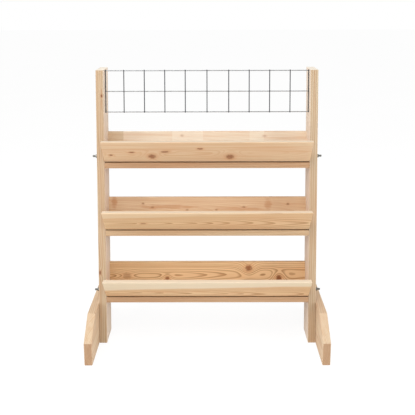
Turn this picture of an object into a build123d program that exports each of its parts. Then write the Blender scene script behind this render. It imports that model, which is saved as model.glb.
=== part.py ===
"""Planter with trellis: three open troughs between two leaning posts, under a wire mesh.

Lengths are in millimetres. X runs along the troughs, the front looks towards -Y and Z is up.
The origin is on the floor, midway between the two feet and midway along them.
The right-hand side is built and the left-hand side is its mirror image.
"""

import math
import os

from build123d import *

# Posts: two boards on edge that lean back, with both ends cut level.
post_thickness = 19.0
post_width = 89.0
post_height = 673.0
post_lean = math.radians(9.2)
post_ease = 1.5

# Feet: one board on edge outside each post, with its upper corners clipped at both ends.
foot_thickness = 19.0
foot_length = 355.6
foot_height = 101.6
foot_nose = 55.0
foot_slope_run = 75.6
foot_reach = 127.6

# Troughs: every board runs between the posts' inner faces.
trough_length = 508.0
trough_board = 14.0
trough_ease = 0.8
tier_names = ("lower", "middle", "upper")
bolted_tiers = ("lower", "upper")
tier_pitch = 167.0
bottom_width = 89.0
back_width = 63.5
front_width = 89.0
front_tilt = math.radians(48.0)
drain_gap = 3.0

# Cleats: bevelled blocks in the troughs' lower front corners, one against each post.
cleat_thickness = 19.0
cleat_height = 34.0
cleat_length = 28.0
bolt_rise = 12.0

# Wood screws: countersunk, with a cross recess, in pilot holes of the same shape.
screw_head = 8.0
screw_shank = 4.0
screw_tip = 4.0
recess_span = 4.4
recess_width = 0.9
recess_depth = 1.2
end_bite = 21.0
face_bite = 9.0
foot_bite = 15.0

# Pairs of screws sit at these shares of a board's width.
quarter_points = (1 / 4, 3 / 4)

# Bolts with a wide washer, and a hexagon head and nut of one size across the flats.
bolt_diameter = 5.0
hex_flats = 8.0
bolt_head_height = 3.5
bolt_proud = 13.0
bolt_chamfer = 0.6
washer_diameter = 18.0
washer_thickness = 1.5
nut_height = 4.0
nut_chamfer = 0.5

# Trellis: level wires seated in the posts and upright wires welded to their front.
wire_diameter = 2.3
wire_setback = 27.6
wire_rows = 3
wire_pitch = 50.8
middle_pitch = 54.0
top_wire_drop = 3.5
wire_seat = 8.0
wire_end = 2.0
wire_gap = 1.0
weld_sink = 0.3

# Clearance between a fastener or wire and its hole, on the radius.
hole_clearance = 0.05

# Cutting tools start this far outside the surface they cut.
overcut = 1.0

# Positions that follow from the sizes above.
inner_face = trough_length / 2
outer_face = inner_face + post_thickness
foot_face = outer_face + foot_thickness
post_front = foot_reach - foot_length / 2
post_depth = post_width / math.cos(post_lean)
tier_tops = {
    name: foot_height + trough_board + index * tier_pitch for index, name in enumerate(tier_names)
}
front_level_width = trough_board / math.cos(front_tilt)
cleat_level_width = cleat_thickness / math.cos(front_tilt)
fastener_spacing = 2 * bolt_diameter
bolt_radius = bolt_diameter / 2
wire_radius = wire_diameter / 2


def front_line(z):
    """Y of the posts' front face at a height."""
    return post_front + z * math.tan(post_lean)


def back_line(z):
    """Y of the posts' back face at a height."""
    return front_line(z) + post_depth


def front_board_inner(top, z):
    """Y of the inner face of a tier's front board at a height, top being its bottom board's."""
    heel = top + drain_gap
    return front_line(heel) + front_level_width - (z - heel) * math.tan(front_tilt)


def prism(outline, x_low, length):
    """A solid that runs along X from x_low, with an outline given as (y, z) corners."""
    face = make_face(Polyline(*outline, close=True))
    return extrude(Plane.YZ.offset(x_low) * face, amount=length)


def trough_piece(outline):
    """A board between the posts with its long edges eased."""
    board = prism(outline, -inner_face, trough_length)
    return fillet(board.edges().filter_by(Axis.X), trough_ease)


def turned(profile):
    """A solid of revolution about Z from (radius, z) corners."""
    return revolve(Plane.XZ * make_face(Polyline(*profile, close=True)), Axis.Z)


def screw(length):
    """A countersunk screw that points down -Z, with the top of its head at Z zero."""
    head_depth = (screw_head - screw_shank) / 2
    body = turned(
        [
            (0, 0),
            (screw_head / 2, 0),
            (screw_shank / 2, -head_depth),
            (screw_shank / 2, screw_tip - length),
            (0, -length),
        ]
    )
    slot = Box(recess_span, recess_width, 2 * recess_depth)
    return body - slot - Rot(0, 0, 90) * slot


def screw_hole(length):
    """The space for a screw of this length, larger than it by the hole clearance."""
    head_depth = (screw_head - screw_shank) / 2
    return turned(
        [
            (0, overcut),
            (screw_head / 2 + hole_clearance, overcut),
            (screw_head / 2 + hole_clearance, 0),
            (screw_shank / 2 + hole_clearance, -head_depth),
            (screw_shank / 2 + hole_clearance, screw_tip - length - hole_clearance),
            (0, -length - hole_clearance),
        ]
    )


def driven(shape, sites):
    """Copies of a shape at (point, direction) sites, with its -Z along the direction."""
    placed = []
    for point, direction in sites:
        backward = tuple(-value for value in direction)
        placed.append(Plane(origin=point, z_dir=backward).location * shape)
    return placed


def both_sides(shapes):
    """The shapes and their mirror images on the left-hand side."""
    return list(shapes) + [mirror(shape, about=Plane.YZ) for shape in shapes]


def along_x(radius, y, z, x_low, length):
    """A round bar along X."""
    return extrude(Plane.YZ.offset(x_low) * Pos(y, z) * Circle(radius), amount=length)


def hexagon(flats, height, x_low, y, z):
    """A hexagonal prism along X, a given size across its flats."""
    outline = RegularPolygon(flats / 2, 6, major_radius=False)
    return extrude(Plane.YZ.offset(x_low) * Pos(y, z) * outline, amount=height)


# The right-hand post and foot, before they are drilled.
right_post = prism(
    [
        (front_line(0), 0),
        (back_line(0), 0),
        (back_line(post_height), post_height),
        (front_line(post_height), post_height),
    ],
    inner_face,
    post_thickness,
)
long_edges = [edge for edge in right_post.edges() if edge.length > post_height]
right_post = fillet(long_edges, post_ease)

foot_end = foot_length / 2
right_foot = prism(
    [
        (-foot_end, 0),
        (foot_end, 0),
        (foot_end, foot_nose),
        (foot_end - foot_slope_run, foot_height),
        (foot_slope_run - foot_end, foot_height),
        (-foot_end, foot_nose),
    ],
    outer_face,
    foot_thickness,
)
foot_rim = right_foot.faces().filter_by(Axis.X).edges()
right_foot = fillet(foot_rim, post_ease)

# Foot screws: four through each foot into its post.
foot_screw_length = foot_thickness + foot_bite
foot_sites = [
    ((foot_face, front_line(z) + along * post_depth, z), (-1, 0, 0))
    for z in (share * foot_height for share in quarter_points)
    for along in quarter_points
]
foot_holes = driven(screw_hole(foot_screw_length), foot_sites)
right_foot -= foot_holes
right_post -= foot_holes

# Lengths of the screws in the troughs, each the first piece's thickness and its bite.
end_screw_length = post_thickness + end_bite
front_screw_length = cleat_thickness + face_bite
bottom_screw_length = trough_board + face_bite

nodes = {}
bottom_sites = []
back_sites = []
cleat_post_sites = []
cleat_front_sites = []
cleat_bottom_sites = []
bolt_sites = []

for tier in tier_names:
    top = tier_tops[tier]
    heel = top + drain_gap
    cleat_top = top + cleat_height

    # Bottom board: level, its front edge on the posts' front line.
    bottom_front = front_line(top)
    bottom_board = trough_piece(
        [
            (bottom_front, top - trough_board),
            (bottom_front + bottom_width, top - trough_board),
            (bottom_front + bottom_width, top),
            (bottom_front, top),
        ]
    )

    # Back board: parallel to the posts, flush with their back, its upper edge cut square.
    back_rise = back_width * math.cos(post_lean)
    back_shift = back_width * math.sin(post_lean)
    square_y = trough_board * math.cos(post_lean)
    square_z = trough_board * math.sin(post_lean)
    back_board = trough_piece(
        [
            (back_line(top), top),
            (back_line(top) + back_shift, top + back_rise),
            (back_line(top) + back_shift - square_y, top + back_rise + square_z),
            (back_line(top) - trough_board / math.cos(post_lean), top),
        ]
    )

    # Front board: tilted forward, both long edges cut level, clear of the bottom board.
    front_top_y = front_line(heel) - front_width * math.sin(front_tilt)
    front_top_z = heel + front_width * math.cos(front_tilt)
    front_board = trough_piece(
        [
            (front_line(heel), heel),
            (front_line(heel) + front_level_width, heel),
            (front_top_y + front_level_width, front_top_z),
            (front_top_y, front_top_z),
        ]
    )

    # Cleat: fills the corner behind the front board, against the post.
    cleat = prism(
        [
            (front_board_inner(top, top), top),
            (front_board_inner(top, top) + cleat_level_width, top),
            (front_board_inner(top, cleat_top) + cleat_level_width, cleat_top),
            (front_board_inner(top, cleat_top), cleat_top),
        ],
        inner_face - cleat_length,
        cleat_length,
    )

    # The bolt or screw through the post is at mid thickness of the cleat.
    bolt_z = top + bolt_rise
    bolt_y = front_board_inner(top, bolt_z) + cleat_level_width / 2
    cleat_mid = inner_face - cleat_length / 2
    if tier in bolted_tiers:
        bolt_sites.append((bolt_y, bolt_z))
        post_hole = along_x(
            bolt_radius + hole_clearance,
            bolt_y,
            bolt_z,
            inner_face - cleat_length - overcut,
            cleat_length + post_thickness + 2 * overcut,
        )
        post_holes = [post_hole]
    else:
        post_site = ((outer_face, bolt_y, bolt_z), (-1, 0, 0))
        cleat_post_sites.append(post_site)
        post_holes = driven(screw_hole(end_screw_length), [post_site])

    # A screw square to the front board passes above the bolt, from the cleat's rear face.
    half_cleat = cleat_thickness / 2
    inward_y = math.cos(front_tilt)
    inward_z = math.sin(front_tilt)
    front_site = (
        (
            cleat_mid,
            bolt_y - fastener_spacing * inward_z + half_cleat * inward_y,
            bolt_z + fastener_spacing * inward_y + half_cleat * inward_z,
        ),
        (0, -inward_y, -inward_z),
    )
    cleat_front_sites.append(front_site)
    front_holes = driven(screw_hole(front_screw_length), [front_site])

    # A screw from below passes behind the bolt.
    below_site = ((cleat_mid, bolt_y + fastener_spacing, top - trough_board), (0, 0, 1))
    cleat_bottom_sites.append(below_site)
    below_holes = driven(screw_hole(bottom_screw_length), [below_site])

    # Pairs of screws go through the post into the ends of the bottom and back boards.
    bottom_z = top - trough_board / 2
    tier_bottom_sites = [
        ((outer_face, front_line(top) + along * bottom_width, bottom_z), (-1, 0, 0))
        for along in quarter_points
    ]
    bottom_sites += tier_bottom_sites
    bottom_holes = driven(screw_hole(end_screw_length), tier_bottom_sites)
    tier_back_sites = []
    for along in quarter_points:
        back_z = top + along * back_rise
        back_y = back_line(back_z) - trough_board / 2 / math.cos(post_lean)
        tier_back_sites.append(((outer_face, back_y, back_z), (-1, 0, 0)))
    back_sites += tier_back_sites
    back_holes = driven(screw_hole(end_screw_length), tier_back_sites)

    right_post -= post_holes + bottom_holes + back_holes
    cleat -= post_holes + front_holes + below_holes
    bottom_board -= both_sides(bottom_holes + below_holes)
    back_board -= both_sides(back_holes)
    front_board -= both_sides(front_holes)

    nodes[tier + "_bottom_board"] = bottom_board
    nodes[tier + "_back_board"] = back_board
    nodes[tier + "_front_board"] = front_board
    nodes[tier + "_right_cleat"] = cleat
    nodes[tier + "_left_cleat"] = mirror(cleat, about=Plane.YZ)

# Trellis: the level wires lie in a plane parallel to the posts' front faces.
top_wire_z = post_height - top_wire_drop
wire_rise = wire_pitch * math.cos(post_lean)
wire_heights = [top_wire_z - row * wire_rise for row in range(wire_rows)]
level_wires = []
wire_seats = []
for z in wire_heights:
    y = front_line(z) + wire_setback / math.cos(post_lean)
    reach = inner_face + wire_seat
    level_wires.append(along_x(wire_radius, y, z, -reach, 2 * reach))
    seat = along_x(
        wire_radius + hole_clearance,
        y,
        z,
        inner_face - overcut,
        wire_seat + hole_clearance + overcut,
    )
    wire_seats.append(seat)
right_post -= wire_seats

# Upright wires: one in the middle, then pairs out to one just inside each post.
edge_wire = inner_face - wire_radius - wire_gap
upright_x = [0.0]
next_x = middle_pitch
while next_x < edge_wire - wire_pitch / 2:
    upright_x += [-next_x, next_x]
    next_x += wire_pitch
upright_x += [-edge_wire, edge_wire]
weld_offset = wire_diameter - weld_sink
upright_length = (wire_rows - 1) * wire_pitch + 2 * wire_end
low_z = wire_heights[-1] - wire_end * math.cos(post_lean)
foot_of_upright_y = front_line(low_z) + wire_setback / math.cos(post_lean)
upright_wires = []
for x in upright_x:
    start = (
        x,
        foot_of_upright_y - weld_offset * math.cos(post_lean),
        low_z + weld_offset * math.sin(post_lean),
    )
    rising = Plane(origin=start, x_dir=(1, 0, 0), z_dir=(0, math.sin(post_lean), math.cos(post_lean)))
    upright_wires.append(extrude(rising * Circle(wire_radius), amount=upright_length))

# Bolts: head against the cleat, washer and nut outside the post.
bolts = []
washers = []
nuts = []
bolt_start = inner_face - cleat_length
bolt_length = cleat_length + post_thickness + bolt_proud
for y, z in bolt_sites:
    head = hexagon(hex_flats, bolt_head_height, bolt_start - bolt_head_height, y, z)
    shank = along_x(bolt_radius, y, z, bolt_start, bolt_length)
    tip_rim = shank.edges().sort_by(Axis.X)[-1]
    bolts.append(head + chamfer(tip_rim, bolt_chamfer))
    bore = along_x(bolt_radius + hole_clearance, y, z, outer_face - overcut, bolt_proud + overcut)
    washers.append(along_x(washer_diameter / 2, y, z, outer_face, washer_thickness) - bore)
    nut_start = outer_face + washer_thickness
    nut_corners = hex_flats / 2 / math.cos(math.pi / 6)
    blank = hexagon(hex_flats, nut_height, nut_start, y, z)
    envelope = along_x(nut_corners, y, z, nut_start, nut_height)
    envelope = chamfer(envelope.edges().sort_by(Axis.X)[-1], nut_chamfer)
    nuts.append((blank & envelope) - bore)

# Every node, by name. Like fasteners share a node as separate solids.
nodes["right_post"] = right_post
nodes["left_post"] = mirror(right_post, about=Plane.YZ)
nodes["right_foot"] = right_foot
nodes["left_foot"] = mirror(right_foot, about=Plane.YZ)
nodes["trellis_level_wires"] = Compound(children=level_wires)
nodes["trellis_upright_wires"] = Compound(children=upright_wires)
nodes["bolts"] = Compound(children=both_sides(bolts))
nodes["washers"] = Compound(children=both_sides(washers))
nodes["nuts"] = Compound(children=both_sides(nuts))
screw_groups = {
    "foot_screws": (foot_screw_length, foot_sites),
    "bottom_board_screws": (end_screw_length, bottom_sites),
    "back_board_screws": (end_screw_length, back_sites),
    "cleat_post_screws": (end_screw_length, cleat_post_sites),
    "cleat_front_screws": (front_screw_length, cleat_front_sites),
    "cleat_bottom_screws": (bottom_screw_length, cleat_bottom_sites),
}
for name, (length, sites) in screw_groups.items():
    nodes[name] = Compound(children=both_sides(driven(screw(length), sites)))

os.makedirs("parts", exist_ok=True)
for name, shape in nodes.items():
    export_step(shape, os.path.join("parts", name + ".step"))
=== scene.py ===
"""Looks for the planter with trellis: pale softwood, galvanised mesh and zinc fasteners."""

import math

import bpy
from mathutils import Matrix, Vector


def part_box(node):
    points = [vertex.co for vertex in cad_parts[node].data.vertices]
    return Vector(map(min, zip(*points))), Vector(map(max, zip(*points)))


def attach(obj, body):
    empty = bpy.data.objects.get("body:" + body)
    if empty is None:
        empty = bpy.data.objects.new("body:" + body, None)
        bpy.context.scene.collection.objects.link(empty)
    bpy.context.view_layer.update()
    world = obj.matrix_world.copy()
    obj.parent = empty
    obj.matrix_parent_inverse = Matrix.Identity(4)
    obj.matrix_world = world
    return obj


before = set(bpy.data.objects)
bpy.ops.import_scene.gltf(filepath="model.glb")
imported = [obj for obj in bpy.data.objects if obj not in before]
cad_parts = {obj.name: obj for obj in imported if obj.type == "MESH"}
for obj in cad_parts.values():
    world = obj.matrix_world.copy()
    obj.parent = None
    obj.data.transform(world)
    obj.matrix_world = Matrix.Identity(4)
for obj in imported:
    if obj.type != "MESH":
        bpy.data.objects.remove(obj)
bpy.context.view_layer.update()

# Sizes of the wooden parts, in metres. Those that a box can give come from the frame.
LEAN = math.radians(9.2)
TILT = math.radians(48.0)
POST_WIDTH = 0.089
BOARD = 0.014
DRAIN_GAP = 0.003
CLEAT = 0.019
CLEAT_LENGTH = 0.028
TIERS = ("lower", "middle", "upper")
SIDES = {"left": -1.0, "right": 1.0}
TIER_TOPS = {tier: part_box(tier + "_bottom_board")[1].z for tier in TIERS}
POST_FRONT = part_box("left_post")[0].y
POST_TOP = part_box("left_post")[1].z
INNER_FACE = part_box("right_post")[0].x
POST_DEPTH = POST_WIDTH / math.cos(LEAN)

# Sizes of the mesh and its welds.
WIRE_RADIUS = 0.00115
WIRE_SETBACK = 0.0276
WIRE_ROWS = 3
WIRE_PITCH = 0.0508
MIDDLE_PITCH = 0.054
WIRE_GAP = 0.001
TOP_WIRE_DROP = 0.0035
BEAD_RADIUS = 1.25 * WIRE_RADIUS
BEAD_DEPTH = 0.80 * WIRE_RADIUS
BEAD_LUMP = 0.10
BEAD_LUMPS = 5.0
BEAD_RINGS = 6
BEAD_SIDES = 12

# Sizes of the bolts and their threads.
BOLTED_TIERS = ("lower", "upper")
BOLT_RADIUS = 0.0025
BOLT_RISE = 0.012
NUT_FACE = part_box("nuts")[1].x
THREAD_PITCH = 0.0008
THREAD_TURNS = 7
THREAD_HALF_BASE = 0.36 * THREAD_PITCH
THREAD_HEIGHT = 0.00024
THREAD_SINK = 0.00005
TURN_STEPS = 20

# Directions: level ones, then along and into the posts and the front boards.
X_AXIS = (1.0, 0.0, 0.0)
Y_AXIS = (0.0, 1.0, 0.0)
Z_AXIS = (0.0, 0.0, 1.0)
UP_POST = (0.0, math.sin(LEAN), math.cos(LEAN))
INTO_POST = (0.0, math.cos(LEAN), -math.sin(LEAN))
UP_FRONT = (0.0, -math.sin(TILT), math.cos(TILT))
INTO_FRONT = (0.0, math.cos(TILT), math.sin(TILT))


def front_line(z):
    """Y of the posts' front face at a height."""
    return POST_FRONT + z * math.tan(LEAN)


def linear(red, green, blue):
    """A linear colour from screen values between 0 and 255."""
    channels = []
    for value in (red, green, blue):
        share = value / 255.0
        if share <= 0.04045:
            channels.append(share / 12.92)
        else:
            channels.append(((share + 0.055) / 1.055) ** 2.4)
    return (*channels, 1.0)


# Colours that several boards share.
CREAM = linear(240, 222, 196)
PAINTED_TOP_HIGHLIGHT = linear(226, 210, 187)
RUST = linear(196, 132, 88)
FIBRE_BROWN = linear(176, 128, 88)
STREAK_TAN = linear(204, 150, 106)
CLOUD_TAN = linear(216, 168, 128)
KNOT_HALO = linear(204, 138, 92)
KNOT_LIGHT = linear(150, 84, 48)
KNOT_DARK = linear(112, 60, 34)
END_RING = linear(150, 100, 62)
WHITE = (1.0, 1.0, 1.0, 1.0)

# What a board looks like where nothing else is said. Lengths are in metres from the board's
# corner, along and across its grain. The lists hold:
# knots: along, across, half length, half width, strength
# patches, darker stripes: along, across, half length, half width, tint, share
# blocks, blocks of other timber glued end to end, and painted shadow: start, end, tint, share
# band, paler wood above a line: height, slope, softness, tint, share
# pale_faces, painted light on faces square to an axis: axis, tint, share
PLAIN_LOOKS = dict(
    ring_width=0.0045,
    warp=0.007,
    contrast=0.75,
    early=linear(226, 196, 160),
    late=linear(196, 148, 104),
    knots=(),
    patches=(),
    blocks=(),
    band=None,
    tone=None,
    pale_faces=None,
    end=linear(196, 150, 108),
    end_share=0.75,
    end_rings=0.8,
)

FRONTS = {
    "upper": dict(
        seed=3.1,
        tone=(0.98, 1.00, 1.00, 1.0),
        pith=(0.038, 0.034, 0.02, 0.04),
        ring_width=0.0030,
        contrast=0.45,
        early=linear(228, 200, 166),
        late=linear(206, 162, 120),
        knots=(
            (-0.2344, 0.0308, 0.0045, 0.0032, 0.90),
            (-0.1832, 0.0439, 0.0068, 0.0030, 0.90),
            (-0.1348, 0.0243, 0.0088, 0.0095, 0.80),
            (-0.1018, 0.0459, 0.0100, 0.0036, 0.85),
            (-0.0169, 0.0600, 0.0068, 0.0042, 0.75),
            (0.0562, 0.0227, 0.0098, 0.0105, 0.80),
        ),
    ),
    "middle": dict(
        seed=8.7,
        tone=(1.05, 1.13, 1.16, 1.0),
        pith=(0.036, 0.016, 0.02, 0.07),
        ring_width=0.0040,
        contrast=1.0,
        warp=0.009,
        early=linear(226, 192, 152),
        late=linear(166, 112, 66),
        knots=((-0.1571, 0.0336, 0.0070, 0.0040, 0.5),),
        band=(0.076, 0.06, 0.004, CREAM, 0.22),
    ),
    "lower": dict(
        seed=12.4,
        tone=(1.09, 1.18, 1.18, 1.0),
        pith=(0.018, 0.020, -0.02, 0.06),
        ring_width=0.0040,
        contrast=1.0,
        warp=0.008,
        early=linear(224, 186, 146),
        late=linear(160, 106, 62),
        band=(0.052, 0.05, 0.005, linear(224, 204, 180), 0.80),
        patches=(
            (-0.1000, 0.0285, 0.0520, 0.0050, RUST, 0.35),
            (-0.0157, 0.0300, 0.0200, 0.0045, RUST, 0.40),
            (0.0739, 0.0215, 0.0240, 0.0045, RUST, 0.35),
        ),
    ),
}

BACKS = {
    "upper": dict(
        seed=21.9,
        tone=(1.04, 1.15, 1.28, 1.0),
        pith=(0.020, 0.070, 0.02, 0.04),
        ring_width=0.0032,
        contrast=0.30,
        early=linear(240, 220, 192),
        late=linear(224, 192, 156),
        knots=((-0.0644, 0.0540, 0.004, 0.003, 0.3), (0.1469, 0.0526, 0.005, 0.003, 0.3)),
        blocks=(
            # This darker block at the left end is painted shadow, the left post's shadow cast
            # by light from the left; the two paler blocks are other timber.
            (-0.2540, -0.2140, linear(196, 164, 122), 0.50),
            (-0.0900, -0.0100, linear(244, 230, 206), 0.30),
            (0.1080, 0.1460, linear(244, 230, 204), 0.28),
        ),
    ),
    "middle": dict(
        seed=27.3,
        tone=(1.06, 1.18, 1.24, 1.0),
        pith=(0.026, 0.030, 0.01, 0.04),
        ring_width=0.0030,
        contrast=0.50,
        early=linear(232, 198, 164),
        late=linear(210, 160, 118),
        knots=(
            (-0.1661, 0.0485, 0.0035, 0.0022, 0.55),
            (-0.1419, 0.0386, 0.0040, 0.0022, 0.45),
            (-0.0525, 0.0322, 0.0035, 0.0022, 0.45),
            (0.0241, 0.0320, 0.0035, 0.0022, 0.45),
            (0.0943, 0.0392, 0.0040, 0.0024, 0.50),
            (0.2079, 0.0468, 0.0035, 0.0024, 0.60),
        ),
        patches=(
            (-0.2397, 0.0527, 0.0070, 0.0150, RUST, 0.60),
            (-0.1050, 0.0400, 0.0700, 0.0060, RUST, 0.50),
            (0.0900, 0.0340, 0.0600, 0.0050, RUST, 0.35),
            (0.1568, 0.0479, 0.0090, 0.0150, RUST, 0.50),
        ),
    ),
    "lower": dict(
        seed=33.8,
        tone=(1.20, 1.40, 1.50, 1.0),
        pith=(0.030, 0.014, 0.01, 0.035),
        ring_width=0.0032,
        warp=0.0055,
        contrast=1.0,
        early=linear(224, 182, 138),
        late=linear(150, 94, 50),
        knots=(
            (0.1073, 0.0482, 0.0085, 0.0075, 0.95),
            (0.1860, 0.0228, 0.0070, 0.0070, 1.00),
            (-0.1047, 0.0221, 0.0055, 0.0045, 0.90),
            (-0.2097, 0.0281, 0.0110, 0.0080, 0.45),
        ),
    ),
}

BOTTOM_TONES = {
    "upper": (0.72, 0.70, 0.69, 1.0),
    "middle": (0.83, 0.91, 0.94, 1.0),
    "lower": (0.76, 0.76, 0.76, 1.0),
}

# The left post has two knots, and a dark stripe above and below the upper one.
POST_MARKS = {
    "left": dict(
        knots=((0.6195, -0.2590, 0.0036, 0.0021, 1.0), (0.180, -0.2690, 0.0050, 0.0028, 0.8)),
        patches=(
            (0.6290, -0.2590, 0.0090, 0.0012, RUST, 0.60),
            (0.6040, -0.2590, 0.0160, 0.0022, RUST, 0.45),
        ),
    ),
    "right": dict(),
}

FASTENER_NODES = (
    "bolts",
    "washers",
    "nuts",
    "foot_screws",
    "bottom_board_screws",
    "back_board_screws",
    "cleat_post_screws",
    "cleat_front_screws",
    "cleat_bottom_screws",
)


class Tree:
    """Builds one material's nodes with short calls."""

    def __init__(self, name):
        self.material = bpy.data.materials.new(name)
        self.material.use_nodes = True
        self.tree = self.material.node_tree
        self.tree.nodes.clear()
        self.output = self.tree.nodes.new("ShaderNodeOutputMaterial")

    def node(self, kind, **settings):
        made = self.tree.nodes.new(kind)
        for key, value in settings.items():
            setattr(made, key, value)
        return made

    def feed(self, socket, value):
        """Sets a socket from a number, a vector or another node's output."""
        if isinstance(value, bpy.types.NodeSocket):
            self.tree.links.new(value, socket)
        else:
            socket.default_value = value

    def math(self, operation, first, second=0.0):
        made = self.node("ShaderNodeMath", operation=operation)
        self.feed(made.inputs[0], first)
        self.feed(made.inputs[1], second)
        return made.outputs[0]

    def add(self, first, second):
        return self.math("ADD", first, second)

    def times(self, first, second):
        return self.math("MULTIPLY", first, second)

    def dot(self, vector, axis):
        made = self.node("ShaderNodeVectorMath", operation="DOT_PRODUCT")
        self.feed(made.inputs[0], vector)
        self.feed(made.inputs[1], axis)
        return made.outputs["Value"]

    def join(self, x, y, z):
        made = self.node("ShaderNodeCombineXYZ")
        for socket, value in zip(made.inputs, (x, y, z)):
            self.feed(socket, value)
        return made.outputs[0]

    def noise(self, vector, scale=1.0, detail=2.0, roughness=0.5):
        made = self.node("ShaderNodeTexNoise")
        self.feed(made.inputs["Vector"], vector)
        made.inputs["Scale"].default_value = scale
        made.inputs["Detail"].default_value = detail
        made.inputs["Roughness"].default_value = roughness
        return made.outputs["Fac"]

    def wobble(self, vector, reach, scale=1.0, detail=2.0):
        """Smooth noise that goes up to half the reach either side of zero."""
        return self.times(self.add(self.noise(vector, scale, detail), -0.5), reach)

    def smooth(self, value, low, high, start=0.0, end=1.0):
        """Goes smoothly from start at low to end at high."""
        made = self.node("ShaderNodeMapRange", interpolation_type="SMOOTHSTEP")
        self.feed(made.inputs["Value"], value)
        self.feed(made.inputs["From Min"], low)
        self.feed(made.inputs["From Max"], high)
        self.feed(made.inputs["To Min"], start)
        self.feed(made.inputs["To Max"], end)
        return made.outputs[0]

    def mix(self, share, first, second, blend="MIX"):
        made = self.node("ShaderNodeMix", data_type="RGBA", blend_type=blend)
        self.feed(made.inputs["Factor"], share)
        self.feed(made.inputs[6], first)
        self.feed(made.inputs[7], second)
        return made.outputs[2]

    def local(self, origin, along, across, through):
        """Distances along, across and through a board from one of its corners."""
        place = self.node("ShaderNodeTexCoord").outputs["Object"]
        moved = self.node("ShaderNodeVectorMath", operation="SUBTRACT")
        self.feed(moved.inputs[0], place)
        self.feed(moved.inputs[1], origin)
        return [self.dot(moved.outputs[0], axis) for axis in (along, across, through)]

    def drawn_out(self, place, lengthways, sideways, shift=0.0):
        """A place for noise, scaled less along the grain than across it."""
        u, v, w = place
        depth = self.add(self.times(w, sideways), shift)
        return self.join(self.times(u, lengthways), self.times(v, sideways), depth)

    def oval(self, place, middle_u, middle_v, half_u, half_v):
        """Squared distance from an oval's middle, which is 1 on its edge."""
        off_u = self.math("DIVIDE", self.add(place[0], -middle_u), half_u)
        off_v = self.math("DIVIDE", self.add(place[1], -middle_v), half_v)
        return self.add(self.times(off_u, off_u), self.times(off_v, off_v))

    def bump(self, height, strength, distance):
        made = self.node("ShaderNodeBump")
        made.inputs["Strength"].default_value = strength
        made.inputs["Distance"].default_value = distance
        self.feed(made.inputs["Height"], height)
        return made.outputs[0]


def ring_radius(t, place, seed, pith, warp):
    """Distance from the pith, which drifts along the board and wanders a little."""
    u, v, w = place
    pith_v, pith_w, drift_v, drift_w = pith
    wander_v = t.wobble(t.drawn_out(place, 2.2, 6.0, seed), 2.0 * warp)
    wander_w = t.wobble(t.drawn_out(place, 3.0, 5.0, seed + 17.3), 2.6 * warp)
    from_v = t.add(t.add(t.add(v, -pith_v), t.times(u, -drift_v)), wander_v)
    from_w = t.add(t.add(t.add(w, -pith_w), t.times(u, -drift_w)), wander_w)
    return t.math("SQRT", t.add(t.times(from_v, from_v), t.times(from_w, from_w)))


def bend_at_knots(t, place, radius, knots):
    """Bends the rings round each knot, and gives each knot's uneven oval and strength."""
    fall_off, swell, unevenness, roughness_scale = 0.16, 1.7, 2.4, 210.0
    ovals = []
    for middle_u, middle_v, half_u, half_v, strength in knots:
        apart = t.oval(place, middle_u, middle_v, half_u, half_v)
        pull = t.math("EXPONENT", t.times(apart, -fall_off))
        radius = t.add(radius, t.times(pull, swell * half_v * strength))
        uneven = t.add(apart, t.wobble(t.join(*place), unevenness, roughness_scale, 3.0))
        ovals.append((uneven, strength))
    return radius, ovals


def latewood_share(t, place, radius, seed, ring_width, contrast):
    """The dark part of each ring: it rises slowly, ends sharply and varies along the board."""
    rings = t.math("DIVIDE", radius, ring_width)
    spacing = t.noise(t.join(t.times(rings, 0.43), seed, 0.0), 1.0, 1.0)
    phase = t.math("FRACT", t.add(rings, t.times(spacing, 1.4)))
    rise = t.smooth(phase, 0.40, 0.88)
    fall = t.smooth(phase, 0.92, 1.0, 1.0, 0.0)
    share = t.times(t.times(rise, fall), contrast)
    patchy = t.noise(t.join(t.times(place[0], 5.0), t.times(rings, 0.31), seed + 5.0), 1.0, 2.0)
    return t.times(share, t.smooth(patchy, 0.25, 0.75, 0.45, 1.0))


def add_fibres(t, place, fibre, seed, colour):
    """Fine fibres, longer streaks and slow clouds of colour."""
    u, v, w = place
    streak = t.noise(t.drawn_out(place, 3.0, 120.0), 1.0, 3.0, 0.55)
    cloud = t.noise(t.join(t.times(u, 5.0), t.times(v, 14.0), t.add(w, seed)), 1.0, 3.0)
    colour = t.mix(t.smooth(fibre, 0.35, 0.75, 0.0, 0.16), colour, FIBRE_BROWN)
    colour = t.mix(t.smooth(streak, 0.42, 0.72, 0.0, 0.42), colour, STREAK_TAN)
    return t.mix(t.smooth(cloud, 0.35, 0.75, 0.0, 0.35), colour, CLOUD_TAN)


def add_band(t, place, seed, colour, band):
    """Paler wood above a slanted line, whose edge follows the grain."""
    u, v, _ = place
    level, slope, softness, tint, share = band
    wavy = t.wobble(t.join(t.times(u, 7.0), t.times(v, 25.0), seed), 0.012, 1.0, 3.0)
    height = t.add(t.add(v, t.times(u, -slope)), wavy)
    return t.mix(t.smooth(height, level - softness, level + softness, 0.0, share), colour, tint)


def add_blocks(t, place, colour, blocks):
    """Blocks of other timber, with a narrow joint at each end, and a post's shadow painted as a
    block.
    """
    joint = 0.0012
    for start_u, end_u, tint, share in blocks:
        after_start = t.smooth(place[0], start_u, start_u + joint)
        before_end = t.smooth(place[0], end_u - joint, end_u, 1.0, 0.0)
        colour = t.mix(t.times(t.times(after_start, before_end), share), colour, tint)
    return colour


def add_patches(t, place, seed, colour, patches):
    """Darker stripes with ragged ends."""
    u, v, _ = place
    for middle_u, middle_v, half_u, half_v, tint, share in patches:
        ragged = t.wobble(t.join(t.times(u, 40.0), t.times(v, 190.0), seed), 3.6, 1.0, 3.0)
        apart = t.add(t.oval(place, middle_u, middle_v, half_u, half_v), ragged)
        colour = t.mix(t.smooth(apart, -0.2, 1.8, share, 0.0), colour, tint)
    return colour


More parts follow.
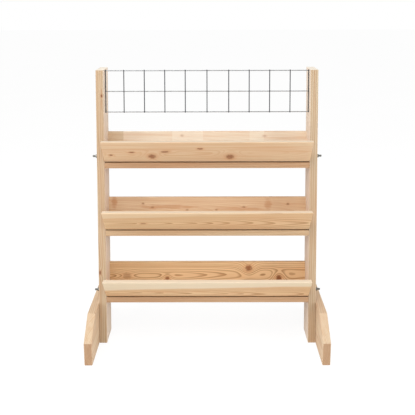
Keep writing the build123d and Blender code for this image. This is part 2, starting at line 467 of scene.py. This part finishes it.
def add_knots(t, colour, ovals):
    """A warm halo round each knot and its ringed core. Gives the colour and the polish."""
    polish = 0.0
    for apart, strength in ovals:
        halo = t.smooth(apart, 0.5, 5.0, 0.40 * strength, 0.0)
        colour = t.mix(halo, colour, KNOT_HALO)
        body = t.smooth(apart, 0.1, 1.7, 0.90 * strength, 0.0)
        circles = t.math("FRACT", t.times(t.math("SQRT", t.math("ABSOLUTE", apart)), 3.0))
        colour = t.mix(body, colour, t.mix(circles, KNOT_LIGHT, KNOT_DARK))
        polish = t.add(polish, t.times(body, -0.08))
    return colour, polish


def add_face_tints(t, colour, along, latewood, looks):
    """Painted light on the faces square to an axis, where the board has it, and the board's own
    colour at its ends: darker, thirstier grain, save on the posts, whose top ends are painted
    near white as lit from above.
    """
    facing = t.node("ShaderNodeNewGeometry").outputs["Normal"]
    if looks["pale_faces"] is not None:
        axis, tint, share = looks["pale_faces"]
        # Painted light: faces square to the axis are tinted paler, as if lit.
        square = t.smooth(t.math("ABSOLUTE", t.dot(facing, axis)), 0.76, 0.95, 0.0, share)
        colour = t.mix(square, colour, tint)
    end_grain = t.smooth(t.math("ABSOLUTE", t.dot(facing, along)), 0.75, 0.97)
    colour = t.mix(t.times(end_grain, looks["end_share"]), colour, looks["end"])
    end_rings = t.times(end_grain, t.times(latewood, looks["end_rings"]))
    return t.mix(end_rings, colour, END_RING)


def wood(name, origin, along, across, through, seed, pith, **own_looks):
    """Softwood with growth rings, fibre streaks and knots, its grain along one axis.

    pith is the ring centre's place across and through the board, and its drift for each metre
    along it. The other looks are those of PLAIN_LOOKS.
    """
    looks = {**PLAIN_LOOKS, **own_looks}
    t = Tree(name)
    place = t.local(origin, along, across, through)
    radius = ring_radius(t, place, seed, pith, looks["warp"])
    radius, ovals = bend_at_knots(t, place, radius, looks["knots"])
    latewood = latewood_share(t, place, radius, seed, looks["ring_width"], looks["contrast"])
    fibre = t.noise(t.drawn_out(place, 9.0, 520.0), 1.0, 3.0, 0.6)

    colour = t.mix(latewood, looks["early"], looks["late"])
    colour = add_fibres(t, place, fibre, seed, colour)
    if looks["band"] is not None:
        colour = add_band(t, place, seed, colour, looks["band"])
    colour = add_blocks(t, place, colour, looks["blocks"])
    colour = add_patches(t, place, seed, colour, looks["patches"])
    colour, polish = add_knots(t, colour, ovals)
    if looks["tone"] is not None:
        colour = t.mix(1.0, colour, looks["tone"], "MULTIPLY")
    colour = add_face_tints(t, colour, along, latewood, looks)

    shader = t.node("ShaderNodeBsdfPrincipled")
    t.feed(shader.inputs["Base Color"], colour)
    rough = t.add(t.add(0.62, t.times(latewood, -0.10)), t.times(fibre, 0.10))
    t.feed(shader.inputs["Roughness"], t.add(rough, polish))
    shader.inputs["Specular IOR Level"].default_value = 0.28
    relief = t.add(t.times(latewood, 0.6), t.times(fibre, 0.7))
    t.feed(shader.inputs["Normal"], t.bump(relief, 0.22, 0.0006))
    t.feed(t.output.inputs["Surface"], shader.outputs[0])
    return t.material


def metal(name, base, dull, roughness, grain):
    """Zinc on steel: a metal with cloudy spangle and fine scratches."""
    t = Tree(name)
    place = t.node("ShaderNodeTexCoord").outputs["Object"]
    spangle = t.noise(place, grain, 3.0, 0.6)
    fine = t.noise(place, grain * 7.0, 2.0, 0.5)
    shader = t.node("ShaderNodeBsdfPrincipled")
    t.feed(shader.inputs["Base Color"], t.mix(t.smooth(spangle, 0.35, 0.68), base, dull))
    shader.inputs["Metallic"].default_value = 1.0
    t.feed(shader.inputs["Roughness"], t.add(roughness, t.times(fine, 0.14)))
    t.feed(shader.inputs["Normal"], t.bump(fine, 0.15, 0.0002))
    t.feed(t.output.inputs["Surface"], shader.outputs[0])
    return t.material


def dress(node, material):
    """Gives every slot of a carried-over node the material."""
    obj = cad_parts[node]
    if not obj.material_slots:
        obj.data.materials.append(material)
    for slot in obj.material_slots:
        slot.material = material


def dress_trough(tier):
    """The front, back and bottom boards and the two cleats of one tier."""
    top = TIER_TOPS[tier]
    heel = top + DRAIN_GAP
    front = wood(
        tier + "_front_wood",
        (0.0, front_line(heel), heel),
        X_AXIS,
        UP_FRONT,
        INTO_FRONT,
        # The level top of the front board is painted pale: a painted highlight from light
        # falling from above.
        pale_faces=(Z_AXIS, PAINTED_TOP_HIGHLIGHT, 0.85),
        **FRONTS[tier],
    )
    dress(tier + "_front_board", front)
    back_place = (0.0, front_line(top) + POST_DEPTH - BOARD / math.cos(LEAN), top)
    back = wood(tier + "_back_wood", back_place, X_AXIS, UP_POST, INTO_POST, **BACKS[tier])
    dress(tier + "_back_board", back)
    bottom = wood(
        tier + "_bottom_wood",
        (0.0, front_line(top), top),
        X_AXIS,
        Y_AXIS,
        Z_AXIS,
        seed=40.0 + 7.0 * top,
        tone=BOTTOM_TONES[tier],
        pith=(0.045, -0.040, 0.02, 0.05),
        ring_width=0.0034,
        contrast=0.6,
        early=linear(224, 188, 150),
        late=linear(196, 148, 104),
    )
    dress(tier + "_bottom_board", bottom)
    for side, sign in SIDES.items():
        cleat = wood(
            tier + "_" + side + "_cleat_wood",
            (sign * (INNER_FACE - CLEAT_LENGTH / 2.0), front_line(heel), top),
            X_AXIS,
            UP_FRONT,
            INTO_FRONT,
            seed=60.0 + 11.0 * top + sign,
            pith=(0.015, 0.060, 0.0, 0.03),
            ring_width=0.0030,
            contrast=0.6,
        )
        dress(tier + "_" + side + "_cleat", cleat)


def dress_side(side, sign):
    """The post and the foot on one side."""
    post = wood(
        side + "_post_wood",
        (0.0, POST_FRONT, 0.0),
        UP_POST,
        X_AXIS,
        INTO_POST,
        seed=71.0 + 3.0 * sign,
        pith=(sign * 0.345, 0.045, 0.004 * sign, 0.01),
        ring_width=0.0042,
        contrast=0.85,
        early=linear(226, 200, 168),
        late=linear(188, 142, 100),
        # The post's sides are painted paler than its front: painted light falling from the
        # sides.
        pale_faces=(X_AXIS, linear(242, 226, 210), 0.72),
        tone=(0.70, 0.73, 0.735, 1.0),
        # The post's top end is painted near white: painted light falling on the top, where end
        # grain is otherwise darker.
        end=linear(250, 240, 224),
        end_share=0.95,
        end_rings=0.20,
        **POST_MARKS[side],
    )
    dress(side + "_post", post)
    foot = wood(
        side + "_foot_wood",
        (0.0, 0.0, 0.0),
        Y_AXIS,
        Z_AXIS,
        X_AXIS,
        seed=83.0 + 3.0 * sign,
        tone=(0.90, 1.06, 1.26, 1.0),
        end=linear(170, 134, 102),
        pith=(0.040, sign * 0.235, 0.02, 0.02 * sign),
        ring_width=0.0032,
        contrast=0.7,
        early=linear(222, 186, 146),
        late=linear(184, 134, 92),
    )
    dress(side + "_foot", foot)


def joined_mesh(name, vertices, faces, material):
    """One smooth piece of the object from its corners and faces."""
    mesh = bpy.data.meshes.new(name)
    mesh.from_pydata(vertices, [], faces)
    mesh.update()
    for polygon in mesh.polygons:
        polygon.use_smooth = True
    mesh.materials.append(material)
    piece = bpy.data.objects.new(name, mesh)
    bpy.context.collection.objects.link(piece)
    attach(piece, "root")


def upright_places():
    """X of each upright wire: one in the middle, then pairs out to one beside each post."""
    edge = INNER_FACE - WIRE_RADIUS - WIRE_GAP
    places = [0.0, -edge, edge]
    x = MIDDLE_PITCH
    while x < edge - WIRE_PITCH / 2.0:
        places += [-x, x]
        x += WIRE_PITCH
    return sorted(places)


def add_bead(vertices, faces, centre, turned):
    """A closed, slightly lumpy button in the plane of the wires."""
    start = len(vertices)
    into = Vector(INTO_POST) * BEAD_DEPTH
    vertices.append(tuple(centre - into))
    for ring in range(1, BEAD_RINGS):
        polar = math.pi * ring / BEAD_RINGS
        for step in range(BEAD_SIDES):
            around = 2.0 * math.pi * step / BEAD_SIDES
            lump = 1.0 + BEAD_LUMP * math.sin(BEAD_LUMPS * around + turned)
            reach = BEAD_RADIUS * math.sin(polar) * lump
            sideways = Vector(X_AXIS) * reach * math.cos(around)
            upward = Vector(UP_POST) * reach * math.sin(around)
            vertices.append(tuple(centre + sideways + upward - into * math.cos(polar)))
    vertices.append(tuple(centre + into))
    last = len(vertices) - 1
    for step in range(BEAD_SIDES):
        after = (step + 1) % BEAD_SIDES
        faces.append((start, start + 1 + step, start + 1 + after))
        for ring in range(BEAD_RINGS - 2):
            low = start + 1 + ring * BEAD_SIDES
            high = low + BEAD_SIDES
            faces.append((low + step, high + step, high + after, low + after))
        faces.append((last, last - BEAD_SIDES + after, last - BEAD_SIDES + step))


def make_weld_beads(material):
    """A small flattened lump of metal where each upright wire meets a level wire."""
    vertices = []
    faces = []
    for row in range(WIRE_ROWS):
        height = POST_TOP - TOP_WIRE_DROP - row * WIRE_PITCH * math.cos(LEAN)
        level = Vector((0.0, front_line(height) + WIRE_SETBACK / math.cos(LEAN), height))
        weld = level - Vector(INTO_POST) * WIRE_RADIUS
        for x in upright_places():
            turned = 31.0 * x + 7.0 * row
            add_bead(vertices, faces, weld + Vector(X_AXIS) * x, turned)
    joined_mesh("weld_beads", vertices, faces, material)


def add_thread(vertices, faces, sign, bolt_y, bolt_z):
    """A closed right-hand ridge of three-sided section, fading out at both ends."""
    start = len(vertices)
    count = THREAD_TURNS * TURN_STEPS
    root = BOLT_RADIUS - THREAD_SINK
    for step in range(count + 1):
        angle = sign * 2.0 * math.pi * step / TURN_STEPS
        along = NUT_FACE + THREAD_PITCH * step / TURN_STEPS
        fade = min(1.0, step / TURN_STEPS, (count - step) / TURN_STEPS)
        crest = BOLT_RADIUS + THREAD_HEIGHT * fade
        for shift, reach in ((-THREAD_HALF_BASE, root), (0.0, crest), (THREAD_HALF_BASE, root)):
            y = bolt_y + reach * math.cos(angle)
            z = bolt_z + reach * math.sin(angle)
            vertices.append((sign * (along + shift), y, z))
    for step in range(count):
        low = start + 3 * step
        high = low + 3
        for edge in range(3):
            after = (edge + 1) % 3
            faces.append((low + edge, high + edge, high + after, low + after))
    faces.append((start, start + 1, start + 2))
    end = start + 3 * count
    faces.append((end + 2, end + 1, end))


def make_bolt_threads(material):
    """A ridge that climbs round each bolt's end, outside its nut."""
    vertices = []
    faces = []
    for tier in BOLTED_TIERS:
        heel = TIER_TOPS[tier] + DRAIN_GAP
        bolt_z = TIER_TOPS[tier] + BOLT_RISE
        slope = (bolt_z - heel) * math.tan(TILT)
        bolt_y = front_line(heel) + (BOARD + CLEAT / 2.0) / math.cos(TILT) - slope
        for sign in SIDES.values():
            add_thread(vertices, faces, sign, bolt_y, bolt_z)
    joined_mesh("bolt_threads", vertices, faces, material)


def dress_metal():
    """The mesh and its welds, and the fasteners and their threads."""
    # Level and upright wires are one galvanised wire: the level wires are painted pale as lit
    # from above, the upright wires painted dark as shaded.
    level = metal("level_wire_zinc_painted_lit", linear(178, 180, 181), linear(146, 149, 152), 0.36, 260.0)
    upright = metal("upright_wire_zinc_painted_shade", linear(72, 74, 76), linear(52, 54, 57), 0.40, 260.0)
    zinc = metal("zinc_plate", linear(142, 141, 136), linear(100, 100, 97), 0.30, 420.0)
    dress("trellis_level_wires", level)
    dress("trellis_upright_wires", upright)
    for name in FASTENER_NODES:
        dress(name, zinc)
    # The weld beads take the painted-lit zinc of the level wires.
    make_weld_beads(level)
    make_bolt_threads(zinc)


def make_floor():
    """A floor that is white to the camera, with the object's own soft shadow left on it."""
    bpy.ops.mesh.primitive_plane_add(size=40.0, location=(0.0, 0.0, 0.0))
    floor = bpy.context.object
    floor.name = "floor"
    t = Tree("floor_white")
    mottle = t.noise(t.node("ShaderNodeTexCoord").outputs["Object"], 3.0, 2.0)
    pale = t.mix(t.smooth(mottle, 0.3, 0.7), linear(236, 236, 236), linear(240, 240, 240))
    diffuse = t.node("ShaderNodeBsdfDiffuse")
    t.feed(diffuse.inputs["Color"], pale)
    glow = t.node("ShaderNodeEmission")
    glow.inputs["Color"].default_value = WHITE
    glow.inputs["Strength"].default_value = 1.06
    ray = t.node("ShaderNodeLightPath")
    seen = t.math("MAXIMUM", ray.outputs["Is Camera Ray"], ray.outputs["Is Glossy Ray"])
    seen = t.math("MAXIMUM", seen, ray.outputs["Is Transmission Ray"])
    mixer = t.node("ShaderNodeMixShader")
    t.feed(mixer.inputs[0], t.times(seen, 0.86))
    t.feed(mixer.inputs[1], diffuse.outputs[0])
    t.feed(mixer.inputs[2], glow.outputs[0])
    t.feed(t.output.inputs["Surface"], mixer.outputs[0])
    floor.data.materials.append(t.material)


def make_world():
    """Even pale light all round, and white to the camera."""
    world = bpy.data.worlds.new("studio")
    bpy.context.scene.world = world
    world.use_nodes = True
    tree = world.node_tree
    tree.nodes.clear()
    out = tree.nodes.new("ShaderNodeOutputWorld")
    backgrounds = []
    for strength in (0.58, 1.0):
        background = tree.nodes.new("ShaderNodeBackground")
        background.inputs["Color"].default_value = WHITE
        background.inputs["Strength"].default_value = strength
        backgrounds.append(background)
    paths = tree.nodes.new("ShaderNodeLightPath")
    mixer = tree.nodes.new("ShaderNodeMixShader")
    tree.links.new(paths.outputs["Is Camera Ray"], mixer.inputs[0])
    tree.links.new(backgrounds[0].outputs[0], mixer.inputs[1])
    tree.links.new(backgrounds[1].outputs[0], mixer.inputs[2])
    tree.links.new(mixer.outputs[0], out.inputs["Surface"])


def lamp(name, place, height, size, power):
    """A soft square lamp aimed at a height on the object's middle line."""
    data = bpy.data.lights.new(name, "AREA")
    data.shape = "SQUARE"
    data.size = size
    data.energy = power
    obj = bpy.data.objects.new(name, data)
    bpy.context.collection.objects.link(obj)
    obj.location = place
    aim = Vector((0.0, 0.0, height)) - Vector(place)
    obj.rotation_euler = aim.to_track_quat("-Z", "Y").to_euler()


def make_camera():
    """The camera, fitted to the outline in the photograph."""
    focal_pixels = 789.9
    image_width = 415.0
    place = (0.0064, -1.8951, 0.8447)
    yaw = math.radians(-0.17)
    pitch = math.radians(14.89)
    roll = math.radians(-0.14)
    data = bpy.data.cameras.new("camera")
    data.sensor_fit = "HORIZONTAL"
    data.sensor_width = 36.0
    data.lens = focal_pixels / image_width * data.sensor_width
    data.clip_end = 60.0
    camera = bpy.data.objects.new("camera", data)
    bpy.context.collection.objects.link(camera)
    turn = Matrix.Rotation(-yaw, 4, "Z") @ Matrix.Rotation(math.pi / 2 - pitch, 4, "X")
    camera.matrix_world = Matrix.Translation(place) @ turn @ Matrix.Rotation(roll, 4, "Z")
    bpy.context.scene.camera = camera


for tier_name in TIERS:
    dress_trough(tier_name)
for side_name, side_sign in SIDES.items():
    dress_side(side_name, side_sign)
dress_metal()
make_floor()
make_world()
lamp("key", (-0.8, -1.7, 3.0), height=0.35, size=1.6, power=40.0)
lamp("front", (0.4, -3.4, 0.9), height=0.30, size=1.6, power=16.0)
lamp("left_side", (-2.4, -0.8, 1.1), height=0.35, size=1.8, power=34.0)
lamp("right_side", (2.4, -0.8, 1.1), height=0.35, size=1.8, power=34.0)
make_camera()
bpy.context.scene.view_settings.view_transform = "Standard"
